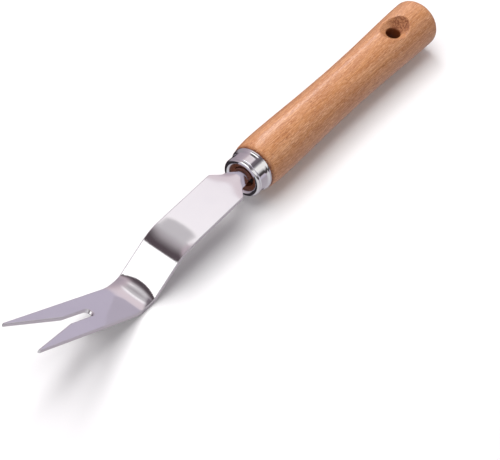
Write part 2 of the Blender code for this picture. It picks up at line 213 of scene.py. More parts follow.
# Floor and lights, in metres. The heel's finer bend reaches just below z = 0.
FLOOR_RADIUS = 0.27
FLOOR_STEPS = 96
FLOOR_Z = -0.0004
KEY_DIRECTION = Vector((0.35, 0.60, 0.85))
KEY_DISTANCE = 1.0
KEY_SIZE = (0.35, 0.35)
KEY_RADIANCE = 7.0
WASH_DIRECTION = Vector((-0.1, 0.25, 1.0))
WASH_DISTANCE = 1.2
WASH_SIZE = (0.9, 0.9)
WASH_RADIANCE = 4.2
STRIP_DIRECTION = Vector((0.58, 0.57, 0.60))
STRIP_DISTANCE = 0.9
STRIP_SIZE = (0.20, 0.5)
STRIP_RADIANCE = 5.0


# ------------------------------------------------------------------ shapes


def to_world():
    """Matrix from the tool's own millimetres to the row frame."""
    place = Matrix.Translation(Vector(MOUTH_PLACE) * MM)
    return place @ Matrix.Rotation(RESTING_TILT, 4, "Y") @ Matrix.Scale(MM, 4)


def arc(centre, radius, start, end, steps):
    """Points on an arc, angles in radians, both ends included."""
    angles = [start + (end - start) * i / steps for i in range(steps + 1)]
    return [(centre[0] + radius * math.cos(a), centre[1] + radius * math.sin(a)) for a in angles]


def rounded(before, corner, after, radius, steps):
    """The arc that replaces a corner of an outline."""
    a = (Vector(before) - Vector(corner)).normalized()
    b = (Vector(after) - Vector(corner)).normalized()
    half = 0.5 * a.angle(b)
    setback = radius / math.tan(half)
    centre = Vector(corner) + (a + b).normalized() * (radius / math.sin(half))
    first = Vector(corner) + a * setback - centre
    last = Vector(corner) + b * setback - centre
    start = math.atan2(first.y, first.x)
    sweep = math.atan2(first.x * last.y - first.y * last.x, first.dot(last))
    return arc(centre, radius, start, start + sweep, steps)


def subdivide(points, step):
    """Closed outline with no side longer than step."""
    fine = []
    for a, b in zip(points, points[1:] + points[:1]):
        count = max(1, math.ceil(math.dist(a, b) / step))
        for i in range(count):
            t = i / count
            fine.append((a[0] + (b[0] - a[0]) * t, a[1] + (b[1] - a[1]) * t))
    return fine


def add_piece(name, verts, faces, material, node, normals=None):
    """A mesh piece in the row frame that stands for a CAD node."""
    mesh = bpy.data.meshes.new(name)
    mesh.from_pydata([tuple(v) for v in verts], [], faces)
    mesh.transform(to_world())
    mesh.materials.append(material)
    mesh.shade_smooth()
    if normals is not None:
        turn = to_world().to_3x3().normalized()
        mesh.normals_split_custom_set_from_vertices([turn @ Vector(n) for n in normals])
    mesh.validate()
    mesh.update()
    piece = bpy.data.objects.new(name, mesh)
    bpy.context.scene.collection.objects.link(piece)
    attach(piece, "root")
    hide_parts(node)
    return piece


# ------------------------------------------------------------------- blade


def bend_table():
    """(start, end, curvature) of each bend and the developed length.

    Distances run from the ferrule's mouth to the tips; curvature is positive
    where the blade turns upwards.
    """
    knots = [Vector(k) for k in PATH_KNOTS]
    bends = []
    cursor = knots[0]
    travelled = -TANG_REACH
    for i in range(1, len(knots) - 1):
        inward = (knots[i] - knots[i - 1]).normalized()
        outward = (knots[i + 1] - knots[i]).normalized()
        turn = math.atan2(outward.x * inward.y - outward.y * inward.x, inward.dot(outward))
        setback = BEND_RADII[i] * math.tan(abs(turn) / 2.0)
        travelled += (knots[i] - inward * setback - cursor).length
        length = BEND_RADII[i] * abs(turn)
        bends.append((travelled, travelled + length, math.copysign(1.0 / BEND_RADII[i], turn)))
        travelled += length
        cursor = knots[i] + outward * setback
    return bends, travelled + (knots[-1] - cursor).length


BENDS, BLANK_LENGTH = bend_table()
CRANK_BEND = BENDS[1]
HEEL_FOLD = BENDS[2]
SLOT_ROOT_S = BLANK_LENGTH - SLOT_DEPTH


def side_view():
    """Stations along the blade with x, z and heading of the upper face."""
    s = np.arange(-TANG_REACH, BLANK_LENGTH + 2.0, STATION)
    curvature = np.zeros_like(s)
    for start, end, bend in BENDS:
        share = np.clip((s - start) / STATION + 0.5, 0, 1) - np.clip((s - end) / STATION + 0.5, 0, 1)
        curvature += bend * share
    window = np.hanning(int(2 * BEND_EASE / STATION) + 1)
    curvature = np.convolve(curvature, window / window.sum(), "same")
    heading = np.cumsum(curvature) * STATION
    first = Vector(PATH_KNOTS[1]) - Vector(PATH_KNOTS[0])
    heading = heading + math.atan2(first.y, -first.x)
    x = PATH_KNOTS[0][0] - np.cumsum(np.cos(heading)) * STATION
    z = PATH_KNOTS[0][1] + np.cumsum(np.sin(heading)) * STATION
    return s, x, z, heading


PATH = side_view()


def fade(s, start, length):
    """Smooth step from 1 at start down to 0 a length further on."""
    t = np.clip((s - start) / length, 0.0, 1.0)
    return 1.0 - t * t * (3.0 - 2.0 * t)


def eased_ramp(distance, width):
    """Zero below -width, equal to distance above width, rounded between."""
    t = np.clip(distance, -width, width) + width
    return np.where(distance > width, distance, t**2 / (4.0 * width))


def dish(s, y):
    """How far the pressed dishes lift the face along its normal.

    The heel's fold starts further up the blade on the centre line than at the
    edges, and the sweep after it brings the face back to the flat fork. The
    plate dips gently ahead of the crank and meets it again within the bend.
    """
    across = 1.0 - (y / BLADE_HALF_WIDTH) ** 2
    fold = 0.5 * (HEEL_FOLD[0] + HEEL_FOLD[1])
    angle = (HEEL_FOLD[1] - HEEL_FOLD[0]) * HEEL_FOLD[2]
    width = 0.5 * (HEEL_FOLD[1] - HEEL_FOLD[0])
    past = eased_ramp(s - fold, width)
    rise = eased_ramp(s - fold + HEEL_BULGE * across, width) - past
    settle = np.clip(1.0 - past / HEEL_FADE, 0.0, 1.0) ** 2
    eased = 1.0 + 2.0 * HEEL_BULGE * across / HEEL_FADE / math.cos(angle) ** 2
    lift = math.tan(angle) / eased * rise * settle
    onset = CRANK_BEND[0] - CRANK_AHEAD + CRANK_ROUND
    dip = eased_ramp(s - onset + CRANK_BULGE * (across - 1.0), CRANK_ROUND)
    dip *= math.tan(CRANK_SLOPE) * (1.0 - (y / BLADE_HALF_WIDTH) ** 4)
    return lift - dip * fade(s, CRANK_BEND[0], CRANK_BEND[1] - CRANK_BEND[0])


def thickness_at(s):
    """Full thickness, thinning along the fork towards its tips."""
    t = np.clip((s - SLOT_ROOT_S) / SLOT_DEPTH, 0.0, 1.0)
    return BLADE_THICKNESS + (TIP_THICKNESS - BLADE_THICKNESS) * t


def roll_at(s):
    """Curvature across the blade, from flat to the neck's full gutter."""
    t = np.clip((ROLL_START_S - s) / (ROLL_START_S - ROLL_END_S), 0.0, 1.0)
    return t**3 / GUTTER_RADIUS


def blade_surface(s, y, drop):
    """Points of the bent blade, drop millimetres below its upper face."""
    stations, x, z, heading = PATH
    px = np.interp(s, stations, x)
    pz = np.interp(s, stations, z)
    turn = np.interp(s, stations, heading)
    curl = np.maximum(roll_at(s), 1e-7)
    angle = y * curl
    across = y * np.sinc(angle / math.pi) - drop * np.sin(angle)
    sag = -(y**2) * curl * 0.5 * np.sinc(angle / (2.0 * math.pi)) ** 2
    lift = sag - drop * np.cos(angle) + dish(s, y)
    return np.stack([px + lift * np.sin(turn), across, pz + lift * np.cos(turn)], axis=1)


def blank_outline():
    """Closed outline of the blank in (s, y), symmetric about y = 0."""
    tang_end = (-TANG_REACH, TANG_END_HALF_WIDTH)
    neck = (NECK_S, NECK_HALF_WIDTH)
    shoulder = (SHOULDER_S, BLADE_HALF_WIDTH)
    point_outer = (BLANK_LENGTH - TINE_POINT_SETBACK, BLADE_HALF_WIDTH)
    point_inner = (BLANK_LENGTH, TINE_POINT_INNER_Y)
    throat = (BLANK_LENGTH - MOUTH_DEPTH, SLOT_HALF_WIDTH)
    root_centre = (SLOT_ROOT_S + SLOT_HALF_WIDTH, 0.0)
    side = rounded((-TANG_REACH, 0.0), tang_end, neck, TANG_CORNER, 4)
    side += rounded(tang_end, neck, shoulder, NECK_FILLET, 8)
    side += rounded(neck, shoulder, point_outer, SHOULDER_CORNER, 8)
    side += rounded(shoulder, point_outer, point_inner, TINE_POINT_CORNER, 3)
    side += rounded(point_outer, point_inner, throat, TINE_POINT_CORNER, 4)
    side += rounded(point_inner, throat, (root_centre[0], SLOT_HALF_WIDTH), MOUTH_CORNER, 6)
    side += arc(root_centre, SLOT_HALF_WIDTH, math.pi / 2.0, math.pi, 12)[:-1]
    other = [(s, -y) for s, y in reversed(side)]
    return side + [(SLOT_ROOT_S, 0.0)] + other


def edge_distance(points, outline):
    """Distance of each point from the outline, and the direction away from it."""
    a = outline
    b = np.roll(outline, -1, axis=0)
    edge = b - a
    length2 = (edge**2).sum(axis=1)
    distance = np.empty(len(points))
    away = np.empty((len(points), 2))
    for i, p in enumerate(points):
        t = np.clip(((p - a) * edge).sum(axis=1) / length2, 0.0, 1.0)
        gap = p - (a + edge * t[:, None])
        d2 = (gap**2).sum(axis=1)
        nearest = int(np.argmin(d2))
        distance[i] = math.sqrt(d2[nearest])
        away[i] = gap[nearest] / max(distance[i], 1e-9)
    return distance, away


def outline_normals(outline):
    """Unit direction into the blank at each outline point."""
    tangent = np.roll(outline, -1, axis=0) - np.roll(outline, 1, axis=0)
    tangent /= np.linalg.norm(tangent, axis=1)[:, None]
    inward = np.stack([-tangent[:, 1], tangent[:, 0]], axis=1)
    x, y = outline[:, 0], outline[:, 1]
    double_area = np.sum(x * np.roll(y, -1) - np.roll(x, -1) * y)
    return inward if double_area > 0 else -inward


def inside(points, outline):
    """Which points lie inside the closed outline."""
    x, y = points[:, 0], points[:, 1]
    hit = np.zeros(len(points), bool)
    for (x0, y0), (x1, y1) in zip(outline, np.roll(outline, -1, axis=0)):
        if y0 == y1:
            continue
        crosses = (y0 > y) != (y1 > y)
        hit ^= crosses & (x < (x1 - x0) * (y - y0) / (y1 - y0) + x0)
    return hit


def station_steps():
    """Stations of the inner grid: close together in the bends and the roll."""
    stations = []
    s = -TANG_REACH + COARSE_STEP
    while s < BLANK_LENGTH:
        stations.append(s)
        near_bend = any(a - FINE_REACH < s < b + FINE_REACH for a, b, _ in BENDS[1:])
        rolling = FINE_FROM_S < s < ROLL_START_S
        s += FINE_STEP if near_bend or rolling else COARSE_STEP
    return stations


def blank_points(outline):
    """Points of the blank, how many lie on the outline, and its normals.

    The outline comes first, then the rings of the eased edge, then the grid.
    A ring's point is dropped where another edge is nearer than its own.
    """
    inward = outline_normals(outline)
    groups = [outline]
    for angle in EDGE_RING_ANGLES:
        offset = EDGE_RADIUS * (1.0 - math.cos(math.radians(angle)))
        ring = outline + inward * offset
        distance, _ = edge_distance(ring, outline)
        groups.append(ring[distance > offset * 0.985 - 0.002])
    grid = []
    reach = BLADE_HALF_WIDTH - GRID_MARGIN
    rows = np.linspace(-reach, reach, GRID_ROWS)
    for i, s in enumerate(station_steps()):
        shift = 0.25 * (rows[1] - rows[0]) * (1 if i % 2 else -1)
        grid += [(s, y + shift) for y in rows]
    grid = np.array(grid)
    grid = grid[inside(grid, outline)]
    distance, _ = edge_distance(grid, outline)
    groups.append(grid[distance > EDGE_RADIUS + GRID_CLEARANCE])
    return np.concatenate(groups), len(outline), inward


def make_blade(material):
    """Forked blade with eased edges, cranked twice, its neck a gutter."""
    outline = np.array(subdivide(blank_outline(), OUTLINE_STEP))
    points, rim, inward = blank_points(outline)
    edges = [(i, (i + 1) % rim) for i in range(rim)]
    coords = [Vector(p) for p in points]
    flat, _, triangles, origins, _, _ = geometry.delaunay_2d_cdt(coords, edges, [], 1, 1e-6)
    flat = np.array([tuple(p) for p in flat])
    rim_index = {}
    for index, group in enumerate(origins):
        rim_index.update((original, index) for original in group if original < rim)
    middles = np.array([flat[list(t)].mean(axis=0) for t in triangles])
    keep = inside(middles, outline)
    triangles = [tuple(t) for t, k in zip(triangles, keep) if k]
    distance, away = edge_distance(flat, outline)
    on_rim = distance < ON_RIM
    nearest = [int(np.argmin(((outline - p) ** 2).sum(axis=1))) for p in flat[on_rim]]
    away[on_rim] = inward[nearest]

    s, y = flat[:, 0], flat[:, 1]
    full = thickness_at(s)
    cosine = np.clip(1.0 - distance / EDGE_RADIUS, 0.0, 1.0)
    sine = np.sqrt(1.0 - cosine**2)
    ease = EDGE_RADIUS * (1.0 - sine)
    faces = []
    verts = []
    normals = []
    lower = len(flat)
    for side, drop in ((1.0, ease), (-1.0, full - ease)):
        place = blade_surface(s, y, drop)
        ahead = blade_surface(s + SLOPE_STEP, y, drop)
        along = ahead - blade_surface(s - SLOPE_STEP, y, drop)
        beside = blade_surface(s, y + SLOPE_STEP, drop)
        across = beside - blade_surface(s, y - SLOPE_STEP, drop)
        along /= np.linalg.norm(along, axis=1)[:, None]
        up = np.cross(across, along)
        up /= np.linalg.norm(up, axis=1)[:, None]
        sideways = np.cross(along, up)
        sideways *= np.sign((sideways * across).sum(axis=1))[:, None]
        normal = up * (side * sine)[:, None]
        normal -= along * (cosine * away[:, 0])[:, None]
        normal -= sideways * (cosine * away[:, 1])[:, None]
        verts += list(place)
        normals += list(normal)
    for a, b, c in triangles:
        if np.cross(flat[b] - flat[a], flat[c] - flat[a]) > 0:
            b, c = c, b
        faces.append((a, b, c))
        faces.append((lower + a, lower + c, lower + b))
    for a, b in edges:
        a, b = rim_index[a], rim_index[b]
        faces.append((b, a, lower + a, lower + b))
    return add_piece("blade_body", verts, faces, material, "blade", normals)


# ------------------------------------------------------------------ lathes


def lathe(profile, steps, closed=False):
    """Turned mesh of an (x, r) profile about the x axis."""
    verts, faces, rows = [], [], []
    for x, r in profile:
        if r < 1e-6:
            rows.append([len(verts)] * steps)
            verts.append((x, 0.0, 0.0))
            continue
        rows.append(list(range(len(verts), len(verts) + steps)))
        for i in range(steps):
            a = 2.0 * math.pi * i / steps
            verts.append((x, r * math.cos(a), r * math.sin(a)))
    pairs = list(zip(rows, rows[1:]))
    if closed:
        pairs.append((rows[-1], rows[0]))
    for lower, upper in pairs:
        for i in range(steps):
            j = (i + 1) % steps
            ring = [lower[i], lower[j], upper[j], upper[i]]
            face = [v for k, v in enumerate(ring) if v not in ring[:k]]
            if len(face) > 2:
                faces.append(tuple(face))
    return verts, faces


def outward(verts, faces):
    """The same mesh, welded, with every face turned outwards."""
    bm = bmesh.new()
    made = [bm.verts.new(v) for v in verts]
    for face in faces:
        bm.faces.new([made[i] for i in face])
    bmesh.ops.remove_doubles(bm, verts=bm.verts, dist=WELD)
    bmesh.ops.recalc_face_normals(bm, faces=bm.faces)
    bm.verts.index_update()
    clean = [tuple(v.co) for v in bm.verts]
    loops = [tuple(v.index for v in f.verts) for f in bm.faces]
    bm.free()
    return clean, loops


def make_ferrule(material):
    """Chromed ferrule: rolled lip, groove, band and flange."""
    reach = FLARE_COVE + FLARE_BEAD
    quarter = math.pi / 2.0
    cove = (FLARE_START, FERRULE_RADIUS + FLARE_COVE)
    bead = (cove[0] + reach * math.sin(FLARE_ANGLE), cove[1] - reach * math.cos(FLARE_ANGLE))
    back = (FERRULE_LENGTH - FLANGE_CORNER, bead[1] + FLARE_BEAD - FLANGE_CORNER)
    profile = arc(back, FLANGE_CORNER, 0.0, quarter, 5)
    profile += arc(bead, FLARE_BEAD, quarter, quarter + FLARE_ANGLE, 10)
    profile += arc(cove, FLARE_COVE, FLARE_ANGLE - quarter, -quarter, 14)[1:]
    band_end = GROOVE_X + GROOVE_WIDTH / 2.0
    band = (BAND_MIDDLE, FERRULE_RADIUS)
    groove = (GROOVE_X, GROOVE_RADIUS)
    profile += [band, (band_end + BAND_EDGE, FERRULE_RADIUS)]
    profile += rounded(band, (band_end, FERRULE_RADIUS), groove, GROOVE_CORNER, 3)
    profile += [(GROOVE_X + GROOVE_FLAT, GROOVE_RADIUS), (GROOVE_X - GROOVE_FLAT, GROOVE_RADIUS)]
    lip_x = GROOVE_X - GROOVE_WIDTH / 2.0
    lip_r = (LIP_RADIUS + LIP_HOLE_RADIUS) / 2.0
    half = (LIP_RADIUS - LIP_HOLE_RADIUS) / 2.0
    for x, r in arc((0.0, 0.0), 1.0, math.pi / 2.0, 3.0 * math.pi / 2.0, 24):
        profile.append((lip_x * (1.0 + x), lip_r + r * half))
    profile += [(LIP_BACK, LIP_HOLE_RADIUS), (LIP_BACK, FERRULE_BORE_RADIUS)]
    profile += [(FERRULE_LENGTH, FERRULE_BORE_RADIUS)]
    verts, faces = outward(*lathe(profile, FERRULE_STEPS, closed=True))
    piece = add_piece("ferrule_shell", verts, faces, material, "ferrule")
    piece.data.set_sharp_from_angle(angle=FERRULE_SHARP)
    return piece


# ------------------------------------------------------------------ handle


def barrel_table():
    """Smooth curve through the barrel's stations."""
    x = np.array([p[0] for p in BARREL])
    r = np.array([p[1] for p in BARREL])
    slope = np.gradient(r, x)
    slope[-1] = 0.0
    fine = np.arange(x[0], x[-1] + 0.01, BARREL_STEP)
    i = np.clip(np.searchsorted(x, fine, side="right") - 1, 0, len(x) - 2)
    h = x[i + 1] - x[i]
    t = (fine - x[i]) / h
    radius = (2 * t**3 - 3 * t**2 + 1) * r[i] + (t**3 - 2 * t**2 + t) * h * slope[i]
    radius += (3 * t**2 - 2 * t**3) * r[i + 1] + (t**3 - t**2) * h * slope[i + 1]
    return fine, radius


BARREL_X, BARREL_R = barrel_table()


def barrel_radius(x):
    """Radius of the barrel at a station."""
    return float(np.interp(x, BARREL_X, BARREL_R))


def hole_heights(rho, alpha):
    """Barrel's and countersink's height over the axis, rho out from the hole."""
    x = HANG_HOLE_X + rho * math.cos(alpha)
    y = rho * math.sin(alpha)
    barrel = math.sqrt(max(barrel_radius(x) ** 2 - y * y, 0.0))
    floor = HANG_HOLE_SURFACE - COUNTERSINK_DEPTH
    cone = floor + (rho - HANG_HOLE_RADIUS) / math.tan(COUNTERSINK_HALF_ANGLE)
    return barrel, cone


def rim_radius(alpha):
    """Distance from the hole's axis at which the countersink meets the barrel."""
    low, high = HANG_HOLE_RADIUS, RIM_SEARCH_R
    for _ in range(RIM_SEARCH_STEPS):
        middle = 0.5 * (low + high)
        barrel, cone = hole_heights(middle, alpha)
        low, high = (middle, high) if cone < barrel else (low, middle)
    return low


def hole_sections(count):
    """For each direction round the hole: points from the barrel to mid-depth."""
    sections = []
    for i in range(count):
        alpha = 2.0 * math.pi * i / count
        rim = rim_radius(alpha)
        barrel, cone = hole_heights(rim + RIM_EASE, alpha)
        blend = cone - barrel
        line = []
        for k in range(RIM_RINGS):
            rho = rim + RIM_EASE * (1.0 - 2.0 * k / (RIM_RINGS - 1))
            barrel, cone = hole_heights(rho, alpha)
            h = min(1.0, max(0.0, 0.5 + 0.5 * (cone - barrel) / blend))
            line.append((rho, cone * (1.0 - h) + barrel * h - blend * h * (1.0 - h)))
        floor = HANG_HOLE_SURFACE - COUNTERSINK_DEPTH
        corner = (HANG_HOLE_RADIUS, floor)
        ease = rounded(line[-1], corner, (HANG_HOLE_RADIUS, 0.0), THROAT_EASE, 5)
        start = line[-1]
        for k in range(1, CONE_RINGS):
            t = k / CONE_RINGS
            rho = start[0] + (ease[0][0] - start[0]) * t
            line.append((rho, start[1] + (ease[0][1] - start[1]) * t))
        line += ease
        depth = ease[-1][1]
        line += [(HANG_HOLE_RADIUS, depth * (1.0 - k / WALL_RINGS)) for k in range(1, WALL_RINGS + 1)]
        sections.append([(HANG_HOLE_X + r * math.cos(alpha), r * math.sin(alpha), z) for r, z in line])
    return sections


def hole_patch(x_low, x_high, steps):
    """Upper half of the barrel round the hang hole, and the hole itself."""
    count = HOLE_STEPS
    sections = hole_sections(count)
    scale = HANG_HOLE_SURFACE
    stations = np.linspace(x_low, x_high, int(round((x_high - x_low) / PATCH_STEP)) + 1)
    angles = [math.pi * i / (steps // 2) for i in range(steps // 2 + 1)]

    def unroll(p):
        return (p[0], math.atan2(p[2], p[1]) * scale)

    hole = [unroll(line[0]) for line in sections]
    frame_line = [(x, 0.0) for x in stations]
    frame_line += [(x_high, a * scale) for a in angles[1:]]
    frame_line += [(x, math.pi * scale) for x in stations[-2::-1]]
    frame_line += [(x_low, a * scale) for a in angles[-2:0:-1]]
    grid = np.array([(x, a * scale) for x in stations[1:-1] for a in angles[1:-1]])
    rim = np.array(hole)
    clear, _ = edge_distance(grid, rim)
    grid = grid[(~inside(grid, rim)) & (clear > PATCH_CLEARANCE)]
    points = hole + frame_line + [tuple(p) for p in grid]
    outer = len(frame_line)
    edges = [(i, (i + 1) % count) for i in range(count)]
    edges += [(count + i, count + (i + 1) % outer) for i in range(outer)]
    coords = [Vector(p) for p in points]
    flat, _, triangles, origins, _, _ = geometry.delaunay_2d_cdt(coords, edges, [], 1, 1e-6)
    flat = np.array([tuple(p) for p in flat])
    middles = np.array([flat[list(t)].mean(axis=0) for t in triangles])
    keep = ~inside(middles, rim)
    verts = []
    for x, v in flat:
        r = barrel_radius(x)
        verts.append((x, r * math.cos(v / scale), r * math.sin(v / scale)))
    faces = [tuple(t) for t, k in zip(triangles, keep) if k]
    start = {}
    for index, group in enumerate(origins):
        for original in group:
            if original < count:
                start[original] = index
    rows = [[start[i] for i in range(count)]]
    for depth in range(1, len(sections[0])):
        rows.append(list(range(len(verts), len(verts) + count)))
        verts += [line[depth] for line in sections]
    for upper, lower in zip(rows, rows[1:]):
        for i in range(count):
            j = (i + 1) % count
            faces.append((upper[i], upper[j], lower[j], lower[i]))
    return verts, faces


def make_handle(material):
    """Turned handle with spigot, tang bore and countersunk hang hole."""
    x_low = HANG_HOLE_X - PATCH_REACH
    x_high = HANG_HOLE_X + PATCH_REACH
    stations = np.linspace(BARREL[0][0], x_low, BARREL_RINGS)
    mouth = (SPIGOT_START, TANG_BORE_RADIUS)
    before = [(TANG_BORE_END, 0.0), (TANG_BORE_END, TANG_BORE_RADIUS)]
    before += [(x, TANG_BORE_RADIUS) for x in BORE_RING_X]
    inner = (BORE_RING_X[2], TANG_BORE_RADIUS)
    before += rounded(inner, mouth, (SPIGOT_START, SPIGOT_FACE_R[1]), BORE_CORNER, 3)
    before += [(SPIGOT_START, r) for r in SPIGOT_FACE_R]
    before += [(SPIGOT_START, SPIGOT_RADIUS), (BARREL_START, SPIGOT_RADIUS)]
    before += [(BARREL_START, START_FACE_R)]
    before += [(BARREL_START, BARREL_START_RADIUS - START_CHAMFER)]
    before += [(BARREL_START + START_CHAMFER, BARREL_START_RADIUS)]
    before += [(BARREL_START + BARREL_START_SETBACK, BARREL_START_EASED)]
    before += [(x, barrel_radius(x)) for x in stations]
    rim = BARREL[-1][1] - BUTT_CORNER
    after = [(x, barrel_radius(x)) for x in np.linspace(x_high, BARREL[-1][0], BUTT_BARREL_RINGS)]
    corner = (BUTT_X - BUTT_DOME - BUTT_CORNER, rim)
    after += arc(corner, BUTT_CORNER, math.pi / 2.0, 0.0, 10)
    for i in range(BUTT_RINGS - 1, 0, -1):
        radius = rim * i / BUTT_RINGS
        after.append((BUTT_X - BUTT_DOME * (radius / rim) ** 2, radius))
    after.append((BUTT_X, 0.0))
    verts, faces = lathe(before, HANDLE_STEPS)
    patch_verts, patch_faces = hole_patch(x_low, x_high, HANDLE_STEPS)
    lower_verts = [(x, y, -z) for x, y, z in patch_verts]
    lower_faces = [tuple(reversed(f)) for f in patch_faces]
    pieces = [lathe(after, HANDLE_STEPS), (patch_verts, patch_faces), (lower_verts, lower_faces)]
    for more_verts, more_faces in pieces:
        base = len(verts)
        verts += more_verts
        faces += [tuple(i + base for i in f) for f in more_faces]
    verts, faces = outward(verts, faces)
    piece = add_piece("handle_body", verts, faces, material, "handle")
    piece.data.set_sharp_from_angle(angle=HANDLE_SHARP)
    return piece


# --------------------------------------------------------------- materials


class Nodes:
    """Short hand for building a node tree."""

    def __init__(self, tree):
        self.tree = tree

    def add(self, kind, **settings):
        node = self.tree.nodes.new(kind)
        for key, value in settings.items():
            setattr(node, key, value)
        return node

    def link(self, out, into):
        self.tree.links.new(out, into)

    def math(self, operation, a, b=0.0):
        node = self.add("ShaderNodeMath", operation=operation)
        for socket, source in zip(node.inputs, (a, b)):
            if isinstance(source, (int, float)):
                socket.default_value = source
            else:
                self.link(source, socket)
        return node.outputs[0]

    def noise(self, vector, scale, detail=3.0, roughness=0.5, distortion=0.0):
        node = self.add("ShaderNodeTexNoise")
        node.inputs["Scale"].default_value = scale
        node.inputs["Detail"].default_value = detail
        node.inputs["Roughness"].default_value = roughness
        node.inputs["Distortion"].default_value = distortion
        self.link(vector, node.inputs["Vector"])
        return node.outputs["Fac"]

    def stretch(self, vector, scale):
        node = self.add("ShaderNodeMapping")
        node.inputs["Scale"].default_value = scale
        self.link(vector, node.inputs["Vector"])
        return node.outputs["Vector"]

    def ramp(self, fac, stops):
        node = self.add("ShaderNodeValToRGB")
        elements = node.color_ramp.elements
        while len(elements) > 1:
            elements.remove(elements[-1])
        elements[0].position = stops[0][0]
        elements[0].color = (*stops[0][1], 1.0)
        for position, colour in stops[1:]:
            elements.new(position).color = (*colour, 1.0)
        self.link(fac, node.inputs["Fac"])
        return node.outputs["Color"]

    def spread(self, fac, low, high, from_low=0.0, from_high=1.0):
        node = self.add("ShaderNodeMapRange", clamp=True)
        for name, number in (
            ("From Min", from_low),
            ("From Max", from_high),
            ("To Min", low),
            ("To Max", high),
        ):
            node.inputs[name].default_value = number
        self.link(fac, node.inputs["Value"])
        return node.outputs["Result"]

    def mix(self, fac, a, b):
        node = self.add("ShaderNodeMix", data_type="RGBA")
        sockets = {s.identifier: s for s in node.inputs}
        pairs = (("Factor_Float", fac), ("A_Color", a), ("B_Color", b))
        for identifier, source in pairs:
            socket = sockets[identifier]
            if isinstance(source, (int, float)):
                socket.default_value = source
            elif isinstance(source, tuple):
                socket.default_value = (*source, 1.0)
            else:
                self.link(source, socket)
        return next(s for s in node.outputs if s.identifier == "Result_Color")

    def bump(self, height, strength, distance, normal=None):
        node = self.add("ShaderNodeBump")
        node.inputs["Strength"].default_value = strength
        node.inputs["Distance"].default_value = distance
        self.link(height, node.inputs["Height"])
        if normal is not None:
            self.link(normal, node.inputs["Normal"])
        return node.outputs["Normal"]


def new_material(name):
    """Material, its node helper, its shader and its position in millimetres."""
    material = bpy.data.materials.new(name)
    material.use_nodes = True
    nodes = Nodes(material.node_tree)
    shader = material.node_tree.nodes["Principled BSDF"]
    place = nodes.add("ShaderNodeTexCoord").outputs["Object"]
    return material, nodes, shader, nodes.stretch(place, (1.0 / MM, 1.0 / MM, 1.0 / MM))


def steel_material():
    """Mirror-polished stainless steel with faint polishing marks."""
    material, nodes, shader, place = new_material("polished_steel_finish")
    marks = nodes.noise(nodes.stretch(place, (0.05, 3.0, 3.0)), 1.0, 4.0, 0.6)
    clouds = nodes.noise(place, 0.08, 3.0, 0.5)
    tint = nodes.ramp(clouds, [(0.3, (0.90, 0.885, 0.905)), (0.7, (0.935, 0.92, 0.935))])
    nodes.link(tint, shader.inputs["Base Color"])
    shader.inputs["Metallic"].default_value = 1.0
    smear = nodes.math("ADD", nodes.spread(marks, 0.0, 0.03), nodes.spread(clouds, 0.11, 0.14))
    nodes.link(smear, shader.inputs["Roughness"])
    nodes.link(nodes.bump(marks, 0.02, 0.00002), shader.inputs["Normal"])
    return material


def chrome_material():
    """Bright chrome with faint turning marks round the axis."""
    material, nodes, shader, place = new_material("bright_chrome_finish")
    rings = nodes.noise(nodes.stretch(place, (5.0, 0.05, 0.05)), 1.0, 3.0, 0.6)
    clouds = nodes.noise(place, 0.15, 2.0, 0.5)
    tint = nodes.ramp(clouds, [(0.3, (0.91, 0.91, 0.925)), (0.7, (0.95, 0.945, 0.955))])
    nodes.link(tint, shader.inputs["Base Color"])
    shader.inputs["Metallic"].default_value = 1.0
    smear = nodes.math("ADD", nodes.spread(rings, 0.0, 0.02), nodes.spread(clouds, 0.02, 0.05))
    nodes.link(smear, shader.inputs["Roughness"])
    nodes.link(nodes.bump(rings, 0.02, 0.00002), shader.inputs["Normal"])
    return material


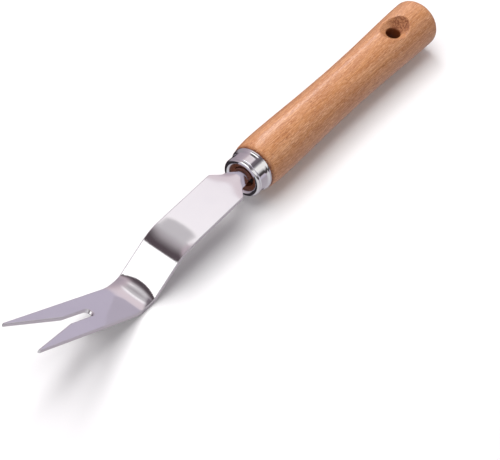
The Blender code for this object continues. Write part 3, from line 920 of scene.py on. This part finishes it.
def wood_material():
    """Clear-lacquered reddish-brown wood with its grain along the handle, and painted shade on faces
    turned towards the tips and deep in the bores.
    """
    material, nodes, shader, place = new_material("lacquered_wood_finish")
    sway = nodes.noise(nodes.stretch(place, (0.012, 0.06, 0.06)), 1.0, 2.0, 0.5)
    split = nodes.add("ShaderNodeSeparateXYZ")
    nodes.link(place, split.inputs[0])
    across = nodes.math("POWER", nodes.math("ADD", split.outputs["Y"], -PITH_Y), 2.0)
    up = nodes.math("POWER", nodes.math("ADD", split.outputs["Z"], -PITH_Z), 2.0)
    radius = nodes.math("SQRT", nodes.math("ADD", across, up))
    radius = nodes.math("ADD", radius, nodes.math("MULTIPLY", sway, RING_SWAY))
    ring = nodes.math("SINE", nodes.math("MULTIPLY", radius, 2.0 * math.pi / RING_WIDTH))
    ring = nodes.spread(ring, 0.0, 1.0, -1.0, 1.0)
    fibre = nodes.noise(nodes.stretch(place, (0.06, 2.0, 2.0)), 1.0, 5.0, 0.65)
    fine = nodes.noise(nodes.stretch(place, (0.28, 4.2, 4.2)), 1.0, 3.0, 0.6)
    fleck = nodes.noise(nodes.stretch(place, (0.45, 1.9, 1.9)), 1.0, 2.0, 0.5, 0.3)
    clouds = nodes.noise(nodes.stretch(place, (0.03, 0.12, 0.12)), 1.0, 3.0, 0.55)
    base = nodes.ramp(
        clouds,
        [(0.25, (0.46, 0.195, 0.072)), (0.5, (0.525, 0.240, 0.097)), (0.75, (0.59, 0.285, 0.126))],
    )
    colour = nodes.mix(nodes.spread(ring, 0.0, 0.25), base, (0.40, 0.145, 0.055))
    colour = nodes.mix(nodes.spread(fibre, 0.75, 0.0, 0.38, 0.58), colour, (0.33, 0.115, 0.042))
    colour = nodes.mix(nodes.spread(fine, 0.0, 0.7, 0.5, 0.7), colour, (0.82, 0.50, 0.30))
    dots = nodes.spread(fleck, 0.0, 0.7, 0.60, 0.70)
    colour = nodes.mix(dots, colour, (0.26, 0.085, 0.03))
    facing = nodes.add("ShaderNodeNewGeometry").outputs["Normal"]
    parts = nodes.add("ShaderNodeSeparateXYZ")
    nodes.link(facing, parts.inputs[0])
    # Faces turned towards the tips, such as the countersink's butt-side wall and the spigot's face, go
    # near black in speckles: partly the darker colour of end grain, partly painted shade on the side
    # turned away from the light.
    cut = nodes.noise(place, 1.1, 3.0, 0.6)
    end = nodes.spread(nodes.math("MULTIPLY", parts.outputs["X"], -1.0), 0.0, 0.9, 0.15, 0.5)
    end = nodes.math("MULTIPLY", end, nodes.spread(cut, 0.45, 1.0, 0.4, 0.58))
    colour = nodes.mix(end, colour, (0.13, 0.03, 0.009))
    butt = nodes.spread(parts.outputs["X"], 0.0, 0.45, 0.6, 0.95)
    colour = nodes.mix(butt, colour, (0.26, 0.085, 0.03))
    # Painted shade: the wood near the handle's axis, in the tang bore, on the spigot's face and deep
    # in the hang hole, turns dark brown.
    from_axis = nodes.math("POWER", split.outputs["Y"], 2.0)
    height = nodes.math("ADD", split.outputs["Z"], -AXIS_HEIGHT)
    from_axis = nodes.math("SQRT", nodes.math("ADD", from_axis, nodes.math("POWER", height, 2.0)))
    bore_shade = nodes.spread(from_axis, 1.0, 0.0, BORE_SHADE_RADII[0], BORE_SHADE_RADII[1])
    colour = nodes.mix(bore_shade, colour, (0.17, 0.045, 0.014))
    nodes.link(colour, shader.inputs["Base Color"])
    nodes.link(nodes.spread(fibre, 0.34, 0.46), shader.inputs["Roughness"])
    shader.inputs["Coat Weight"].default_value = 0.35
    shader.inputs["Coat Roughness"].default_value = 0.16
    shader.inputs["Specular IOR Level"].default_value = 0.45
    grain = nodes.bump(fibre, 0.25, 0.00012)
    nodes.link(nodes.bump(fleck, 0.2, 0.00008, grain), shader.inputs["Normal"])
    return material


def resin_painted_shade_material():
    """Resin with small bubbles, coloured near black: painted shade for the dark inside of the
    ferrule's mouth.
    """
    material, nodes, shader, place = new_material("resin_painted_shade_finish")
    clouds = nodes.noise(place, 0.6, 3.0, 0.5)
    # Near-black colour: painted shade in the ferrule's mouth.
    colour = nodes.ramp(clouds, [(0.3, (0.012, 0.009, 0.008)), (0.7, (0.03, 0.02, 0.014))])
    nodes.link(colour, shader.inputs["Base Color"])
    nodes.link(nodes.spread(clouds, 0.3, 0.5), shader.inputs["Roughness"])
    nodes.link(nodes.bump(nodes.noise(place, 2.5), 0.3, 0.0002), shader.inputs["Normal"])
    return material


def floor_material():
    """Plain pale floor."""
    material, nodes, shader, place = new_material("pale_floor_finish")
    clouds = nodes.noise(place, 0.01, 2.0, 0.5)
    colour = nodes.ramp(clouds, [(0.3, (0.90, 0.90, 0.905)), (0.7, (0.92, 0.92, 0.92))])
    nodes.link(colour, shader.inputs["Base Color"])
    shader.inputs["Roughness"].default_value = 0.9
    shader.inputs["Specular IOR Level"].default_value = 0.1
    return material


# ------------------------------------------------------------------- stage

def add_camera():
    """Camera at the height and side from which the tool is pictured."""
    data = bpy.data.cameras.new("camera")
    data.lens = CAMERA_LENS
    data.sensor_width = SENSOR_WIDTH
    data.clip_start = CLIP_START
    camera = bpy.data.objects.new("camera", data)
    back = CAMERA_BACK.normalized()
    right = (CAMERA_RIGHT - back * CAMERA_RIGHT.dot(back)).normalized()
    up = back.cross(right)
    turn = to_world().to_3x3().normalized() @ Matrix((right, up, back)).transposed()
    camera.matrix_world = Matrix.Translation(to_world() @ CAMERA_PLACE) @ turn.to_4x4()
    bpy.context.scene.collection.objects.link(camera)
    bpy.context.scene.camera = camera


def add_softbox(name, direction, distance, size, radiance):
    """Rectangular area light that looks at the tool from a direction."""
    data = bpy.data.lights.new(name, "AREA")
    data.shape = "RECTANGLE"
    data.size = size[0]
    data.size_y = size[1]
    data.energy = radiance * math.pi * size[0] * size[1]
    light = bpy.data.objects.new(name, data)
    toward = direction.normalized()
    light.location = toward * distance
    light.rotation_euler = toward.to_track_quat("Z", "Y").to_euler()
    bpy.context.scene.collection.objects.link(light)
    return light


def add_floor():
    """Round pale floor, which polished faces don't mirror."""
    bm = bmesh.new()
    centre = bm.verts.new((0.0, 0.0, 0.0))
    turn = 2.0 * math.pi * (1.0 - 1.0 / FLOOR_STEPS)
    rim = arc((0.0, 0.0), FLOOR_RADIUS, 0.0, turn, FLOOR_STEPS - 1)
    ring = [bm.verts.new((x, y, 0.0)) for x, y in rim]
    for i in range(FLOOR_STEPS):
        bm.faces.new((centre, ring[i], ring[(i + 1) % FLOOR_STEPS]))
    mesh = bpy.data.meshes.new("floor")
    bm.to_mesh(mesh)
    bm.free()
    mesh.materials.append(floor_material())
    floor = bpy.data.objects.new("floor", mesh)
    floor.location = (0.0, 0.0, FLOOR_Z)
    floor.visible_glossy = False
    bpy.context.scene.collection.objects.link(floor)


def add_world():
    """Studio surroundings, painted by direction.

    sweep runs round the tool's length, from the floor ahead of the fork up and
    over to the butt; overhead crosses it for faces that look to the near side,
    and side is what the far flanks see. Below the horizon on the far side it is
    dark. A ray that has met polished metal twice sees one plain pale colour.
    """
    world = bpy.data.worlds.new("studio")
    bpy.context.scene.world = world
    world.use_nodes = True
    nodes = Nodes(world.node_tree)
    background = world.node_tree.nodes["Background"]
    direction = nodes.add("ShaderNodeTexCoord").outputs["Generated"]
    split = nodes.add("ShaderNodeSeparateXYZ")
    nodes.link(direction, split.inputs[0])
    turn = nodes.math("ARCTAN2", split.outputs["Z"], split.outputs["X"])
    share = nodes.spread(turn, 0.0, 1.0, -math.pi, math.pi)

    def at(degrees):
        return (degrees + 180.0) / 360.0

    def arc_at(degrees):
        return degrees / 180.0

    sweep = nodes.ramp(
        share,
        [
            (at(-175.0), (0.62, 0.62, 0.64)),
            (at(-120.0), (0.55, 0.53, 0.56)),
            (at(-60.0), (0.42, 0.38, 0.42)),
            (at(-25.0), (0.38, 0.34, 0.38)),
            (at(-9.0), (0.50, 0.455, 0.56)),
            (at(6.0), (0.51, 0.465, 0.565)),
            (at(20.0), (0.68, 0.60, 0.66)),
            (at(40.0), (0.73, 0.64, 0.68)),
            (at(53.0), (0.74, 0.655, 0.69)),
            (at(56.5), (0.88, 0.83, 0.88)),
            (at(58.0), (1.00, 0.97, 1.00)),
            (at(63.0), (1.06, 1.02, 1.03)),
            (at(65.5), (0.46, 0.44, 0.46)),
            (at(68.5), (0.58, 0.56, 0.58)),
            (at(76.0), (0.46, 0.43, 0.45)),
            (at(84.0), (0.30, 0.27, 0.285)),
            (at(92.0), (0.16, 0.14, 0.15)),
            (at(102.0), (0.085, 0.065, 0.075)),
            (at(127.5), (0.075, 0.055, 0.065)),
            (at(129.5), (1.35, 1.35, 1.35)),
            (at(175.0), (1.2, 1.2, 1.2)),
        ],
    )
    arch = nodes.math("ARCTAN2", split.outputs["Z"], split.outputs["Y"])
    overhead = nodes.ramp(
        nodes.spread(arch, 0.0, 1.0, 0.0, math.pi),
        [
            (arc_at(60.0), (0.56, 0.50, 0.53)),
            (arc_at(86.0), (0.54, 0.49, 0.54)),
            (arc_at(94.0), (0.17, 0.14, 0.165)),
            (arc_at(112.0), (0.12, 0.105, 0.12)),
            (arc_at(119.0), (0.28, 0.26, 0.28)),
            (arc_at(128.0), (0.84, 0.82, 0.81)),
            (arc_at(146.0), (0.86, 0.84, 0.83)),
            (arc_at(155.0), (0.58, 0.57, 0.58)),
            (arc_at(163.0), (0.10, 0.09, 0.09)),
            (arc_at(174.0), (0.03, 0.025, 0.03)),
            (1.0, (0.36, 0.30, 0.33)),
        ],
    )
    side = nodes.ramp(
        split.outputs["Y"],
        [
            (0.50, (0.56, 0.46, 0.50)),
            (0.66, (0.45, 0.38, 0.43)),
            (0.85, (0.36, 0.30, 0.35)),
            (1.00, (0.32, 0.29, 0.32)),
        ],
    )
    near = nodes.spread(split.outputs["Y"], 1.0, 0.0, -0.08, 0.06)
    above = nodes.spread(split.outputs["Z"], 0.0, 1.0, -0.05, 0.0)
    near = nodes.math("MULTIPLY", near, above)
    colour = nodes.mix(near, sweep, overhead)
    far = nodes.spread(split.outputs["Y"], 0.0, 1.0, 0.46, 0.58)
    colour = nodes.mix(far, colour, side)
    under = nodes.spread(split.outputs["Z"], 1.0, 0.0, -0.42, -0.16)
    under = nodes.math("MULTIPLY", under, nodes.spread(split.outputs["Y"], 0.0, 1.0, -0.02, 0.14))
    colour = nodes.mix(under, colour, (0.03, 0.025, 0.03))
    bounce = nodes.add("ShaderNodeLightPath").outputs["Glossy Depth"]
    colour = nodes.mix(nodes.spread(bounce, 0.0, 1.0, 1.4, 1.6), colour, (0.50, 0.46, 0.54))
    nodes.link(colour, background.inputs["Color"])
    background.inputs["Strength"].default_value = 1.0


def main():
    """Dress the frame, light it and aim the camera."""
    make_blade(steel_material())
    make_ferrule(chrome_material())
    handle = make_handle(wood_material())
    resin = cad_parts["tang_resin"]
    # the resin gets a near-black colour, painted shade for the inside of the ferrule's mouth
    resin.data.materials.clear()
    resin.data.materials.append(resin_painted_shade_material())
    add_floor()
    add_world()
    key = add_softbox("key_softbox", KEY_DIRECTION, KEY_DISTANCE, KEY_SIZE, KEY_RADIANCE)
    key.visible_glossy = False
    wash = add_softbox("overhead_wash", WASH_DIRECTION, WASH_DISTANCE, WASH_SIZE, WASH_RADIANCE)
    wash.visible_glossy = False
    # the highlight along the lacquer, on the handle alone
    strip = add_softbox("lacquer_strip", STRIP_DIRECTION, STRIP_DISTANCE, STRIP_SIZE, STRIP_RADIANCE)
    lit = bpy.data.collections.new("lit_by_strip")
    lit.objects.link(handle)
    strip.light_linking.receiver_collection = lit
    add_camera()
    bpy.context.scene.view_settings.view_transform = "Standard"


main()
